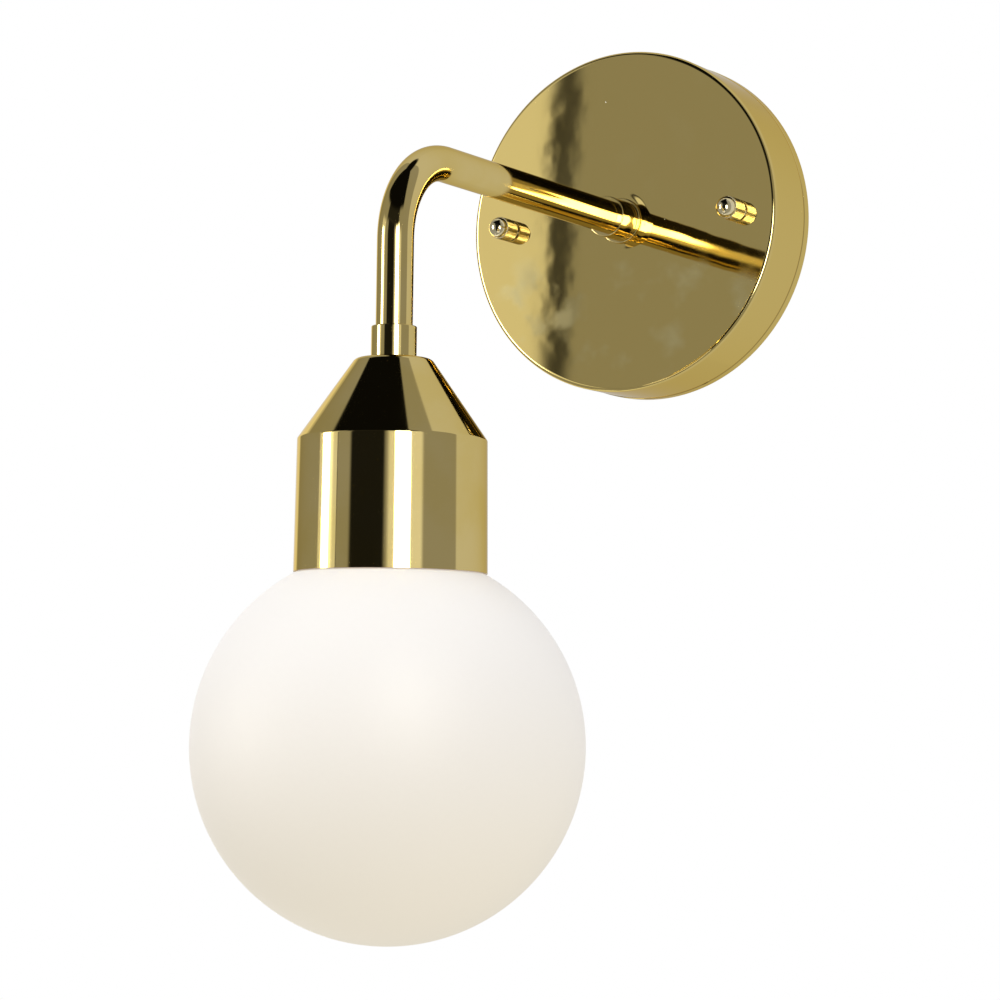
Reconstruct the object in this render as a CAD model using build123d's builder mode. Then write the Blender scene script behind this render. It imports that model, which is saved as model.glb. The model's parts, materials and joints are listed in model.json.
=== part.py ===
from build123d import *
import os
from math import cos, pi, radians, sin, sqrt, tan

# A brass wall light with an opal glass globe. All sizes are in millimetres.
# The wall is the plane y = 0 and the room is on its -Y side. The origin is where the
# arm's axis meets the wall, +Z is up, and the lamp hangs on the drop axis at y = -reach.

# ---------------------------------------------------------------- driving dimensions

canopy_diameter = 120.0
canopy_depth = 26.0
canopy_wall = 1.0
canopy_edge_round = 1.5
hem_height = 3.5
hem_thickness = 1.8
hem_step = 0.2

reach = 169.0
bend_radius = 28.0
tube_diameter = 11.4
tube_bore = 9.0
nipple_diameter = 10.0
nipple_bore = 7.0
thread_depth = 19.0
base_ring_diameter = 15.8
base_ring_thickness = 1.0
collar_diameter = 14.0
collar_length = 10.0
small_chamfer = 0.3

cup_top = -65.0
cup_wall = 1.0
cone_top_radius = 11.7
cone_corner_round = 2.5
cone_height = 25.0
shoulder_radius = 29.1
shoulder_round = 1.0
skirt_height = 40.7
rim_radius = 29.6
rim_chamfer = 0.5

globe_diameter = 120.0
globe_wall = 3.0
globe_centre = -183.4
neck_radius = 26.0
neck_bore_radius = 22.8
neck_top = -116.6
neck_root_round = 1.0
gasket_thickness = 1.8
fitter_ring_bore = 26.4
fitter_ring_bottom = -127.0
fitter_flange = 1.2

stud_spacing = 90.0
stud_diameter = 4.0
stud_tip = 31.4
cap_washer_diameter = 7.2
cap_washer_thickness = 0.6
cap_nut_diameter = 7.8
cap_nut_barrel = 7.2
cap_nut_dome_radius = 3.6
cap_nut_ribs = 48
rib_depth = 0.2

strap_thickness = 1.5
strap_width = 16.0
strap_joggle = 4.0
strap_flat_half = 37.0
strap_half_length = 53.0
cable_hole_diameter = 11.0
wall_screw_spacing = 60.0
wall_slot_length = 12.0
wall_slot_width = 4.5
leg_width = 28.0
leg_bottom = -35.0

terminal_pitch = 10.0
terminal_top = -15.5
terminal_height = 17.0
terminal_depth = 13.0
terminal_axis = 8.0
sleeve_radius = 2.2

wire_radius = 1.0
wire_offset = 1.3
earth_screw_x = 15.0
tag_thickness = 0.8

holder_top = -86.0
holder_bottom = -110.0
holder_width = 19.0
holder_depth = 15.0
socket_floor = -101.0
pin_spacing = 9.0
bulb_radius = 8.0
bulb_neck_bottom = -124.0
bulb_bottom = -168.0

lock_washer_radius = 8.2
lock_washer_thickness = 0.8
lock_washer_teeth = 12
nipple_nut_flats = 14.0
nipple_nut_thickness = 3.0
bush_wall = 0.7
bush_lip = 0.5
bush_flange = 1.0
bush_length = 5.0

screw_head_radius = 3.75
screw_head_height = 2.4
screw_head_round = 1.0
screw_tip_chamfer = 0.4
stud_nut_flats = 7.0
stud_nut_thickness = 3.2
fixing_screw_radius = 1.25
fixing_head_radius = 2.1
fixing_head_height = 1.6
clamp_screw_radius = 1.4
holder_screw_radius = 1.5
holder_head_radius = 2.8
holder_head_height = 1.6

earth_washer_radius = 4.0
earth_washer_thickness = 0.6
tag_lug_radius = 3.6
tag_neck_width = 3.2
tag_barrel_start = 6.5
crimp_radius = 1.7
crimp_length = 4.5
tag_overlap = 1.0

nipple_hole_room = 0.2
washer_hole_room = 0.1
stud_hole_room = 0.5
cap_washer_room = 0.35
running_clearance = 0.05
hair = 0.02

# ---------------------------------------------------------------- places worked out

canopy_radius = canopy_diameter / 2
tube_radius = tube_diameter / 2
nipple_radius = nipple_diameter / 2
collar_radius = collar_diameter / 2
collar_front = canopy_depth + base_ring_thickness
drop_collar_top = cup_top + collar_length
shoulder = cup_top - cone_height
rim = shoulder - skirt_height
globe_radius = globe_diameter / 2
stud_x = stud_spacing / 2
stud_radius = stud_diameter / 2
strap_end_back = strap_joggle
strap_end_front = strap_joggle + strap_thickness

lamp_section = Plane.XZ.offset(reach)
lamp_axis = Axis((0, -reach, 0), (0, 0, 1))
stud_points = [(-stud_x, 0), (stud_x, 0)]


def toward_room(distance):
    """The plane that stands this far off the wall, with its normal into the room."""
    return Plane.XZ.offset(distance)


def downward(height, distance=reach):
    """The level plane at a height and a distance off the wall, with its normal down."""
    return Plane(origin=(0, -distance, height), x_dir=(1, 0, 0), z_dir=(0, 0, -1))


def upward(height):
    """The level plane across the drop axis at a height, with its normal up."""
    return Plane(origin=(0, -reach, height))


def facing_side(side, distance):
    """The upright plane this far to one side of the middle, with its normal along +X."""
    return Plane.YZ.offset(side * distance)


# ---------------------------------------------------------------- repeated forms


def ring(plane, outer_radius, inner_radius, length, points=((0, 0),)):
    """Plain rings standing on a plane, one at each point."""
    with BuildPart() as piece:
        with BuildSketch(plane):
            with Locations(*points):
                Circle(outer_radius)
                Circle(inner_radius, mode=Mode.SUBTRACT)
        extrude(amount=length)
    return piece


def hex_nut(plane, across_flats, bore_radius, thickness, points=((0, 0),)):
    """Hexagon nuts standing on a plane, one at each point."""
    with BuildPart() as piece:
        with BuildSketch(plane):
            with Locations(*points):
                RegularPolygon(across_flats / 2, 6, major_radius=False)
                Circle(bore_radius, mode=Mode.SUBTRACT)
        extrude(amount=thickness)
    return piece


def toothed_washer(plane):
    """The lock washer under a nipple nut, with square notches cut round its outer edge."""
    notch_depth = 1.0
    notch_width = 1.6
    with BuildPart() as piece:
        with BuildSketch(plane):
            Circle(lock_washer_radius)
            Circle(nipple_radius + washer_hole_room, mode=Mode.SUBTRACT)
            with PolarLocations(lock_washer_radius, lock_washer_teeth):
                Rectangle(2 * notch_depth, notch_width, mode=Mode.SUBTRACT)
        extrude(amount=lock_washer_thickness)
    return piece


def nipple_nut(plane):
    """The hexagon nut that fits both nipples."""
    return hex_nut(plane, nipple_nut_flats, nipple_radius, nipple_nut_thickness)


def collar(plane):
    """The turned collar that hides the end of the tube's thread, with broken edges."""
    with BuildPart() as piece:
        with BuildSketch(plane):
            Circle(collar_radius)
            Circle(tube_radius, mode=Mode.SUBTRACT)
        extrude(amount=collar_length)
        outer_edges = piece.edges().filter_by(GeomType.CIRCLE).sort_by(SortBy.RADIUS)[-2:]
        chamfer(outer_edges, small_chamfer)
    return piece


def nylon_bush(plane):
    """The bush that keeps wires off a nipple's end: a flange, and a spigot in the bore."""
    with BuildPart() as piece:
        with BuildSketch(plane):
            Circle(nipple_radius + bush_lip)
        extrude(amount=bush_flange)
        with BuildSketch(plane):
            Circle(nipple_bore / 2)
        extrude(amount=bush_length)
        with BuildSketch(plane):
            Circle(nipple_bore / 2 - bush_wall)
        extrude(amount=bush_length, mode=Mode.SUBTRACT)
    return piece


def cap_washer(x):
    """The clear washer between a cap nut and the canopy's face."""
    return ring(
        toward_room(canopy_depth),
        cap_washer_diameter / 2,
        stud_radius + cap_washer_room,
        cap_washer_thickness,
        [(x, 0)],
    )


def cap_nut(x):
    """A knurled cap nut on the stud at x: a ribbed barrel, a domed end and a blind bore."""
    dome_sink = 0.4
    end_gap = 0.6
    seat = canopy_depth + cap_washer_thickness
    barrel_end = seat + cap_nut_barrel
    radius = cap_nut_diameter / 2
    steps = 2 * cap_nut_ribs
    ribs = []
    for step in range(steps):
        rib_radius = radius - rib_depth * (step % 2)
        angle = 2 * pi * step / steps
        ribs.append((rib_radius * cos(angle), rib_radius * sin(angle)))
    nut_section = Plane(origin=(x, 0, 0))
    nut_axis = Axis((x, 0, 0), (0, 1, 0))
    with BuildPart() as piece:
        with BuildSketch(toward_room(seat)):
            with Locations((x, 0)):
                Polygon(*ribs, align=None)
        extrude(amount=cap_nut_barrel)
        with BuildSketch(nut_section):
            with BuildLine():
                Polyline(
                    (0, -seat),
                    (radius - small_chamfer, -seat),
                    (radius, -seat - small_chamfer),
                    (radius, -barrel_end + small_chamfer),
                    (radius - small_chamfer, -barrel_end),
                    (0, -barrel_end),
                    close=True,
                )
            make_face()
        revolve(axis=nut_axis, mode=Mode.INTERSECT)
        dome_centre = -barrel_end + dome_sink
        with BuildSketch(nut_section):
            with BuildLine():
                Line((0, dome_centre), (cap_nut_dome_radius, dome_centre))
                ThreePointArc(
                    (cap_nut_dome_radius, dome_centre),
                    (
                        cap_nut_dome_radius * cos(pi / 4),
                        dome_centre - cap_nut_dome_radius * sin(pi / 4),
                    ),
                    (0, dome_centre - cap_nut_dome_radius),
                )
                Line((0, dome_centre - cap_nut_dome_radius), (0, dome_centre))
            make_face()
        revolve(axis=nut_axis)
        with BuildSketch(toward_room(seat)):
            with Locations((x, 0)):
                Circle(stud_radius + running_clearance)
        extrude(amount=stud_tip + end_gap - seat, mode=Mode.SUBTRACT)
    return piece


def wire(points, radii):
    """A round insulated wire along straight runs joined by arcs."""
    with BuildPart() as piece:
        with BuildLine() as route:
            FilletPolyline(*points, radius=radii)
        with BuildSketch(Plane(route.line @ 0, z_dir=route.line % 0)):
            Circle(wire_radius)
        sweep(path=route.line)
    return piece


def earth_tag(back, direction):
    """A ring tag on the earth screw: a ring, a neck and a crimp barrel along a direction.

    back is the distance off the wall of the face that the tag lies on, and the direction
    is an angle in degrees from +X towards +Z.
    """
    along = (cos(radians(direction)), 0, sin(radians(direction)))
    neck_length = tag_barrel_start + tag_overlap
    neck_middle = (
        earth_screw_x + neck_length / 2 * along[0],
        neck_length / 2 * along[2],
        0,
    )
    barrel_start = (
        earth_screw_x + tag_barrel_start * along[0],
        -back - crimp_radius,
        tag_barrel_start * along[2],
    )
    with BuildPart() as piece:
        with BuildSketch(toward_room(back)):
            with Locations((earth_screw_x, 0)):
                Circle(tag_lug_radius)
            with Locations(Location(neck_middle, direction)):
                Rectangle(neck_length, tag_neck_width)
            with Locations((earth_screw_x, 0)):
                Circle(stud_radius + washer_hole_room, mode=Mode.SUBTRACT)
        extrude(amount=tag_thickness)
        with BuildSketch(Plane(origin=barrel_start, z_dir=along)):
            Circle(crimp_radius)
        extrude(amount=crimp_length)
        with BuildSketch(Plane(origin=barrel_start, z_dir=along)):
            Circle(wire_radius)
        extrude(amount=crimp_length, mode=Mode.SUBTRACT)
    return piece


# ---------------------------------------------------------------- canopy and wall strap

# The canopy is a shallow spun pan: flat face, rounded front edge, straight side, and a
# rear hem that stands a hair proud and is folded in to double thickness.
with BuildPart() as canopy:
    hem_edge_round = 0.4
    side_radius = canopy_radius - hem_step
    inner_radius = side_radius - canopy_wall
    with BuildSketch(Plane.XY):
        with BuildLine():
            Polyline(
                (0, -canopy_depth),
                (side_radius, -canopy_depth),
                (side_radius, -hem_height - hem_step),
                (canopy_radius, -hem_height),
                (canopy_radius, 0),
                (canopy_radius - hem_thickness, 0),
                (canopy_radius - hem_thickness, -hem_height),
                (inner_radius, -hem_height),
                (inner_radius, -canopy_depth + canopy_wall),
                (0, -canopy_depth + canopy_wall),
                close=True,
            )
        make_face()
    revolve(axis=Axis.Y)
    rounds = canopy.edges().filter_by(GeomType.CIRCLE).group_by(Axis.Y)
    fillet(rounds[0], canopy_edge_round)
    hem_edge = canopy.edges().filter_by(GeomType.CIRCLE).group_by(Axis.Y)[-1]
    fillet(hem_edge.sort_by(SortBy.RADIUS)[-1], hem_edge_round)
    with BuildSketch(toward_room(0)):
        Circle(nipple_radius + nipple_hole_room)
        with Locations(*stud_points):
            Circle(stud_radius + stud_hole_room)
    extrude(amount=canopy_depth, mode=Mode.SUBTRACT)

# The strap lies flat on the wall between its two bends and stands off it at the ends,
# so that the stud heads fit behind. A leg below carries the terminal block.
with BuildPart() as mounting_strap:
    corner_round = 2.0
    leg_corner_round = 0.9
    leg_overlap = 1.0
    bend_shift = strap_thickness * tan(radians(45.0 / 2))
    end_start = strap_flat_half + strap_joggle
    back_line = [
        (strap_flat_half, 0),
        (end_start, -strap_joggle),
        (strap_half_length, -strap_joggle),
    ]
    front_line = [
        (strap_half_length, -strap_end_front),
        (end_start - bend_shift, -strap_end_front),
        (strap_flat_half - bend_shift, -strap_thickness),
    ]
    right_half = back_line + front_line
    left_half = [(-x, y) for x, y in reversed(right_half)]
    with BuildSketch(Plane.XY):
        with BuildLine():
            Polyline(*right_half, *left_half, close=True)
        make_face()
    extrude(amount=strap_width / 2, both=True)
    corners = mounting_strap.edges().filter_by(Axis.Y)
    fillet(corners, corner_round)
    leg_height = -leg_bottom - strap_width / 2 + leg_overlap
    with BuildSketch(toward_room(0)):
        with Locations((0, leg_bottom + leg_height / 2)):
            RectangleRounded(leg_width, leg_height, leg_corner_round)
    extrude(amount=strap_thickness)
    with BuildSketch(toward_room(0)):
        Circle(cable_hole_diameter / 2)
        with Locations(*stud_points, (earth_screw_x, 0)):
            Circle(stud_radius)
        with Locations((-wall_screw_spacing / 2, 0), (wall_screw_spacing / 2, 0)):
            SlotOverall(wall_slot_length, wall_slot_width)
        with Locations(
            (-terminal_pitch / 2, terminal_top - terminal_height / 2),
            (terminal_pitch / 2, terminal_top - terminal_height / 2),
        ):
            Circle(fixing_screw_radius)
    extrude(amount=strap_end_front, mode=Mode.SUBTRACT)

# Two pan-head machine screws pushed through the strap from behind are the studs.
with BuildPart() as stud_screws:
    with BuildSketch(toward_room(strap_end_back - screw_head_height)):
        with Locations(*stud_points):
            Circle(screw_head_radius)
    extrude(amount=screw_head_height)
    head_rims = stud_screws.edges().filter_by(GeomType.CIRCLE).group_by(Axis.Y)[-1]
    fillet(head_rims, screw_head_round)
    with BuildSketch(toward_room(strap_end_back)):
        with Locations(*stud_points):
            Circle(stud_radius)
    extrude(amount=stud_tip - strap_end_back)
    tips = stud_screws.edges().filter_by(GeomType.CIRCLE).group_by(Axis.Y)[0]
    chamfer(tips, screw_tip_chamfer)

stud_lock_nuts = hex_nut(
    toward_room(strap_end_front), stud_nut_flats, stud_radius, stud_nut_thickness, stud_points
)

# ---------------------------------------------------------------- cap nuts

left_cap_nut = cap_nut(-stud_x)
right_cap_nut = cap_nut(stud_x)
left_cap_washer = cap_washer(-stud_x)
right_cap_washer = cap_washer(stud_x)

# ---------------------------------------------------------------- arm and its wall fixing

wall_nipple_end = 18.0
thread_end_gap = 1.0
tag_back = canopy_depth - canopy_wall - lock_washer_thickness - tag_thickness
nut_back = tag_back - nipple_nut_thickness

arm_base_ring = ring(
    toward_room(canopy_depth),
    base_ring_diameter / 2,
    nipple_radius + nipple_hole_room,
    base_ring_thickness,
)
wall_collar = collar(toward_room(collar_front))
wall_nipple = ring(
    toward_room(wall_nipple_end),
    nipple_radius,
    nipple_bore / 2,
    collar_front + thread_depth - thread_end_gap - wall_nipple_end,
)
wall_lock_washer = toothed_washer(toward_room(tag_back + tag_thickness))
wall_nipple_nut = nipple_nut(toward_room(nut_back))
wall_wire_bush = nylon_bush(toward_room(wall_nipple_end - bush_flange))

# The arm is one tube: straight out of the wall, a quarter bend, straight down.
with BuildPart() as arm_tube:
    with BuildLine() as arm_route:
        FilletPolyline(
            (0, -collar_front, 0), (0, -reach, 0), (0, -reach, cup_top), radius=bend_radius
        )
    with BuildSketch(toward_room(collar_front)):
        Circle(tube_radius)
        Circle(tube_bore / 2, mode=Mode.SUBTRACT)
    sweep(path=arm_route.line)
    with BuildSketch(toward_room(collar_front)):
        Circle(nipple_radius)
    extrude(amount=thread_depth, mode=Mode.SUBTRACT)
    with BuildSketch(downward(cup_top + thread_depth)):
        Circle(nipple_radius)
    extrude(amount=thread_depth, mode=Mode.SUBTRACT)

drop_collar = collar(downward(drop_collar_top))

# ---------------------------------------------------------------- cup and its fixing

def inset(before, corner, after, wall):
    """The corner of an outline moved in by the wall from both of the lines it joins."""
    arriving = (Vector(*corner) - Vector(*before)).normalized()
    leaving = (Vector(*after) - Vector(*corner)).normalized()
    first = Vector(arriving.Y, -arriving.X)
    second = Vector(leaving.Y, -leaving.X)
    moved = Vector(*corner) + (first + second) * (wall / (1 + first.dot(second)))
    return (moved.X, moved.Y)


# The cup is one spun shell: flat top, straight cone, then a skirt that flares slightly.
# Its wall's section is the outline and the same outline moved in by the wall.
with BuildPart() as cup:
    cup_hole = (nipple_radius + nipple_hole_room, cup_top)
    cone_corner = (cone_top_radius, cup_top)
    shoulder_corner = (shoulder_radius, shoulder)
    rim_corner = (rim_radius, rim)
    inner_rim_radius = rim_radius - cup_wall
    inner_shoulder = inset(cone_corner, shoulder_corner, rim_corner, cup_wall)
    inner_cone = inset(cup_hole, cone_corner, shoulder_corner, cup_wall)
    with BuildSketch(lamp_section) as cup_section:
        with BuildLine():
            Polyline(
                cup_hole,
                cone_corner,
                shoulder_corner,
                rim_corner,
                (inner_rim_radius + rim_chamfer, rim),
                (inner_rim_radius, rim + rim_chamfer),
                inner_shoulder,
                inner_cone,
                (cup_hole[0], cup_top - cup_wall),
                close=True,
            )
        make_face()
        for corner, round_radius in (
            (cone_corner, cone_corner_round),
            (inner_cone, cone_corner_round - cup_wall),
            (shoulder_corner, shoulder_round),
        ):
            nearest = cup_section.vertices().sort_by_distance(corner)[0]
            fillet(nearest, round_radius)
    revolve(axis=lamp_axis)

cup_washer_top = cup_top - cup_wall
cup_nut_top = cup_washer_top - lock_washer_thickness
bracket_top = cup_nut_top - nipple_nut_thickness
bracket_thickness = 1.2
bracket_nut_top = bracket_top - bracket_thickness
nipple_overhang = 2.0
drop_nipple_top = cup_top + thread_depth - thread_end_gap
drop_nipple_end = bracket_nut_top - nipple_nut_thickness - nipple_overhang

drop_nipple = ring(
    downward(drop_nipple_top), nipple_radius, nipple_bore / 2, drop_nipple_top - drop_nipple_end
)
cup_lock_washer = toothed_washer(downward(cup_washer_top))
cup_lock_nut = nipple_nut(downward(cup_nut_top))
bracket_nut = nipple_nut(downward(bracket_nut_top))
drop_wire_bush = nylon_bush(upward(drop_nipple_end - bush_flange))

# ---------------------------------------------------------------- globe and its fitting


def skirt_inside(height):
    """The skirt's inner radius at a height, with a hair of room."""
    flare = (rim_radius - shoulder_radius) / skirt_height
    return shoulder_radius + flare * (shoulder - height) - cup_wall - hair


# A threaded ring pressed into the skirt, with an inward flange that the gasket seats on.
with BuildPart() as fitter_ring:
    flange_bottom = neck_top + gasket_thickness
    flange_top = flange_bottom + fitter_flange
    with BuildSketch(lamp_section):
        with BuildLine():
            Polyline(
                (neck_bore_radius, flange_top),
                (skirt_inside(flange_top), flange_top),
                (skirt_inside(fitter_ring_bottom), fitter_ring_bottom),
                (fitter_ring_bore, fitter_ring_bottom),
                (fitter_ring_bore, flange_bottom),
                (neck_bore_radius, flange_bottom),
                close=True,
            )
        make_face()
    revolve(axis=lamp_axis)

gasket_inset = 0.2
globe_gasket = ring(
    downward(neck_top + gasket_thickness),
    neck_radius - gasket_inset,
    neck_bore_radius + gasket_inset,
    gasket_thickness,
)


def circles_at(piece, height):
    """The circular edges of a turned piece that lie at a height."""
    near = 0.1
    circles = piece.edges().filter_by(GeomType.CIRCLE)
    return circles.filter_by_position(Axis.Z, height - near, height + near)


# The globe is a blown sphere of even wall with a short neck; the neck's screw ridges are
# left plain, inside the ring's bore.
with BuildPart() as globe:
    neck_lip_round = 0.6
    inside_radius = globe_radius - globe_wall
    outer_root = globe_centre + sqrt(globe_radius**2 - neck_radius**2)
    inner_root = globe_centre + sqrt(inside_radius**2 - neck_bore_radius**2)
    with BuildSketch(lamp_section):
        with BuildLine():
            Polyline(
                (neck_bore_radius, inner_root),
                (neck_bore_radius, neck_top),
                (neck_radius, neck_top),
                (neck_radius, outer_root),
            )
            ThreePointArc(
                (neck_radius, outer_root),
                (globe_radius, globe_centre),
                (0, globe_centre - globe_radius),
            )
            Line((0, globe_centre - globe_radius), (0, globe_centre - inside_radius))
            ThreePointArc(
                (0, globe_centre - inside_radius),
                (inside_radius, globe_centre),
                (neck_bore_radius, inner_root),
            )
        make_face()
    revolve(axis=lamp_axis)
    fillet(circles_at(globe, outer_root), neck_root_round)
    fillet(circles_at(globe, neck_top), neck_lip_round)

# ---------------------------------------------------------------- lampholder

# A steel yoke hangs from the nipple and carries the ceramic holder between its legs.
holder_screw_drop = 8.0
screw_height = holder_top - holder_screw_drop
yoke_half = holder_width / 2 + bracket_thickness
with BuildPart() as lampholder_bracket:
    yoke_depth = 12.0
    outside_bend = 1.1
    screw_room = 0.1
    leg_past_screw = 5.0
    leg_end = screw_height - leg_past_screw
    with BuildSketch(lamp_section):
        with BuildLine():
            Polyline(
                (-yoke_half, bracket_top),
                (yoke_half, bracket_top),
                (yoke_half, leg_end),
                (holder_width / 2, leg_end),
                (holder_width / 2, bracket_nut_top),
                (-holder_width / 2, bracket_nut_top),
                (-holder_width / 2, leg_end),
                (-yoke_half, leg_end),
                close=True,
            )
        make_face()
    extrude(amount=yoke_depth / 2, both=True)
    bends = lampholder_bracket.edges().filter_by(Axis.Y).group_by(Axis.Z)[-1]
    fillet(bends, outside_bend)
    with BuildSketch(downward(bracket_top)):
        Circle(nipple_radius + washer_hole_room)
    extrude(amount=bracket_thickness, mode=Mode.SUBTRACT)
    with BuildSketch(Plane.YZ):
        with Locations((-reach, screw_height)):
            Circle(holder_screw_radius + screw_room)
    extrude(amount=yoke_half, both=True, mode=Mode.SUBTRACT)

# The ceramic holder: a socket slot below, two contact chambers above it, wire entries on
# top and a blind hole in each side for its screws.
contact_points = [(-pin_spacing / 2, 0), (pin_spacing / 2, 0)]
chamber_drop = 7.0
chamber_top = holder_top - chamber_drop
screw_reach = 2.4
with BuildPart() as lampholder_body:
    holder_corner = 2.5
    holder_chamfer = 0.8
    socket_width = 15.2
    socket_depth = 8.6
    socket_corner = 2.0
    chamber_width = 3.2
    chamber_depth = 4.0
    entry_room = 0.2
    blind_room = 0.2
    with BuildSketch(downward(holder_top)):
        RectangleRounded(holder_width, holder_depth, holder_corner)
    extrude(amount=holder_top - holder_bottom)
    top_edges = lampholder_body.edges().group_by(Axis.Z)[-1]
    chamfer(top_edges, holder_chamfer)
    with BuildSketch(downward(socket_floor)):
        RectangleRounded(socket_width, socket_depth, socket_corner)
    extrude(amount=socket_floor - holder_bottom, mode=Mode.SUBTRACT)
    with BuildSketch(downward(chamber_top)):
        with Locations(*contact_points):
            Rectangle(chamber_width, chamber_depth)
    extrude(amount=chamber_top - socket_floor, mode=Mode.SUBTRACT)
    with BuildSketch(downward(holder_top)):
        with Locations(*contact_points):
            Circle(wire_radius + entry_room)
    extrude(amount=holder_top - chamber_top, mode=Mode.SUBTRACT)
    blind_depth = screw_reach + blind_room
    for side in (-1, 1):
        with BuildSketch(facing_side(side, holder_width / 2 - blind_depth)):
            with Locations((-reach, screw_height)):
                Circle(holder_screw_radius)
        extrude(amount=side * blind_depth, mode=Mode.SUBTRACT)

# A flat spring strip beside each pin's way, inside its chamber.
with BuildPart() as lampholder_contacts:
    strip_width = 2.4
    strip_thickness = 0.6
    strip_length = 7.4
    strip_offset = -1.2
    strip_gap = 0.2
    with BuildSketch(downward(chamber_top - strip_gap)):
        with Locations((-pin_spacing / 2, strip_offset), (pin_spacing / 2, strip_offset)):
            Rectangle(strip_width, strip_thickness)
    extrude(amount=strip_length)

# A slotted cheese-head screw through each leg of the yoke into the holder.
with BuildPart() as lampholder_screws:
    slot_width = 0.8
    slot_depth = 0.7
    for side in (-1, 1):
        with BuildSketch(facing_side(side, holder_width / 2 - screw_reach)):
            with Locations((-reach, screw_height)):
                Circle(holder_screw_radius)
        extrude(amount=side * (screw_reach + bracket_thickness))
        with BuildSketch(facing_side(side, yoke_half)):
            with Locations((-reach, screw_height)):
                Circle(holder_head_radius)
        extrude(amount=side * holder_head_height)
        with BuildSketch(facing_side(side, yoke_half + holder_head_height - slot_depth)):
            with Locations((-reach, screw_height)):
                Rectangle(slot_width, 2 * holder_head_radius)
        extrude(amount=side * slot_depth, mode=Mode.SUBTRACT)

# ---------------------------------------------------------------- bulb

# A push-in lamp with two pins: a base, two pins, a board with its light chips, a cover.
bulb_gap = 0.3
plug_top = socket_floor - bulb_gap
bulb_neck_top = holder_bottom - bulb_gap
pin_radius = 0.45
pin_root = 2.0
with BuildPart() as bulb_base:
    plug_width = 14.0
    plug_depth = 7.4
    plug_corner = 1.5
    neck_chamfer = 0.5
    with BuildSketch(downward(plug_top)):
        RectangleRounded(plug_width, plug_depth, plug_corner)
    extrude(amount=plug_top - bulb_neck_top)
    with BuildSketch(downward(bulb_neck_top)):
        Circle(bulb_radius)
    extrude(amount=bulb_neck_top - bulb_neck_bottom)
    neck_edge = circles_at(bulb_base, bulb_neck_top).sort_by(SortBy.RADIUS)[-1]
    chamfer(neck_edge, neck_chamfer)
    with BuildSketch(downward(plug_top)):
        with Locations(*contact_points):
            Circle(pin_radius)
    extrude(amount=pin_root, mode=Mode.SUBTRACT)

with BuildPart() as bulb_pins:
    pin_length = 8.3
    with BuildSketch(downward(plug_top - pin_root + pin_length)):
        with Locations(*contact_points):
            Circle(pin_radius)
    extrude(amount=pin_length)

board_thickness = 1.2
with BuildPart() as bulb_board:
    board_width = 10.0
    board_length = 36.0
    with BuildSketch(downward(bulb_neck_bottom)):
        Rectangle(board_width, board_thickness)
    extrude(amount=board_length)

with BuildPart() as bulb_chips:
    chip_width = 2.8
    chip_height = 3.2
    chip_thickness = 0.7
    chip_pitch_across = 4.6
    chip_pitch_down = 5.2
    chips_drop = 19.0
    chips_middle = bulb_neck_bottom - chips_drop
    for face in (-1, 1):
        with BuildSketch(toward_room(reach + face * board_thickness / 2)):
            with Locations((0, chips_middle)):
                with GridLocations(chip_pitch_across, chip_pitch_down, 2, 6):
                    Rectangle(chip_width, chip_height)
        extrude(amount=face * chip_thickness)

with BuildPart() as bulb_cover:
    cover_wall = 1.0
    tip_centre = bulb_bottom + bulb_radius
    inside = bulb_radius - cover_wall
    with BuildSketch(lamp_section):
        with BuildLine():
            Line((inside, bulb_neck_bottom), (bulb_radius, bulb_neck_bottom))
            Line((bulb_radius, bulb_neck_bottom), (bulb_radius, tip_centre))
            ThreePointArc(
                (bulb_radius, tip_centre),
                (bulb_radius * cos(pi / 4), tip_centre - bulb_radius * sin(pi / 4)),
                (0, bulb_bottom),
            )
            Line((0, bulb_bottom), (0, bulb_bottom + cover_wall))
            ThreePointArc(
                (0, bulb_bottom + cover_wall),
                (inside * cos(pi / 4), tip_centre - inside * sin(pi / 4)),
                (inside, tip_centre),
            )
            Line((inside, tip_centre), (inside, bulb_neck_bottom))
        make_face()
    revolve(axis=lamp_axis)

# ---------------------------------------------------------------- terminals and earthing

pole_points = [(-terminal_pitch, 0), (0, 0), (terminal_pitch, 0)]
terminal_middle = terminal_top - terminal_height / 2
terminal_front = strap_thickness + terminal_depth
screw_row_offset = 4.0
screw_rows = [terminal_middle + screw_row_offset, terminal_middle - screw_row_offset]
clamp_points = [(x, z) for x, y in pole_points for z in screw_rows]
fixing_points = [(-terminal_pitch / 2, terminal_middle), (terminal_pitch / 2, terminal_middle)]
sleeve_recess = 1.0
sleeve_top = terminal_top - sleeve_recess
sleeve_length = terminal_height - 2 * sleeve_recess

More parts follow.
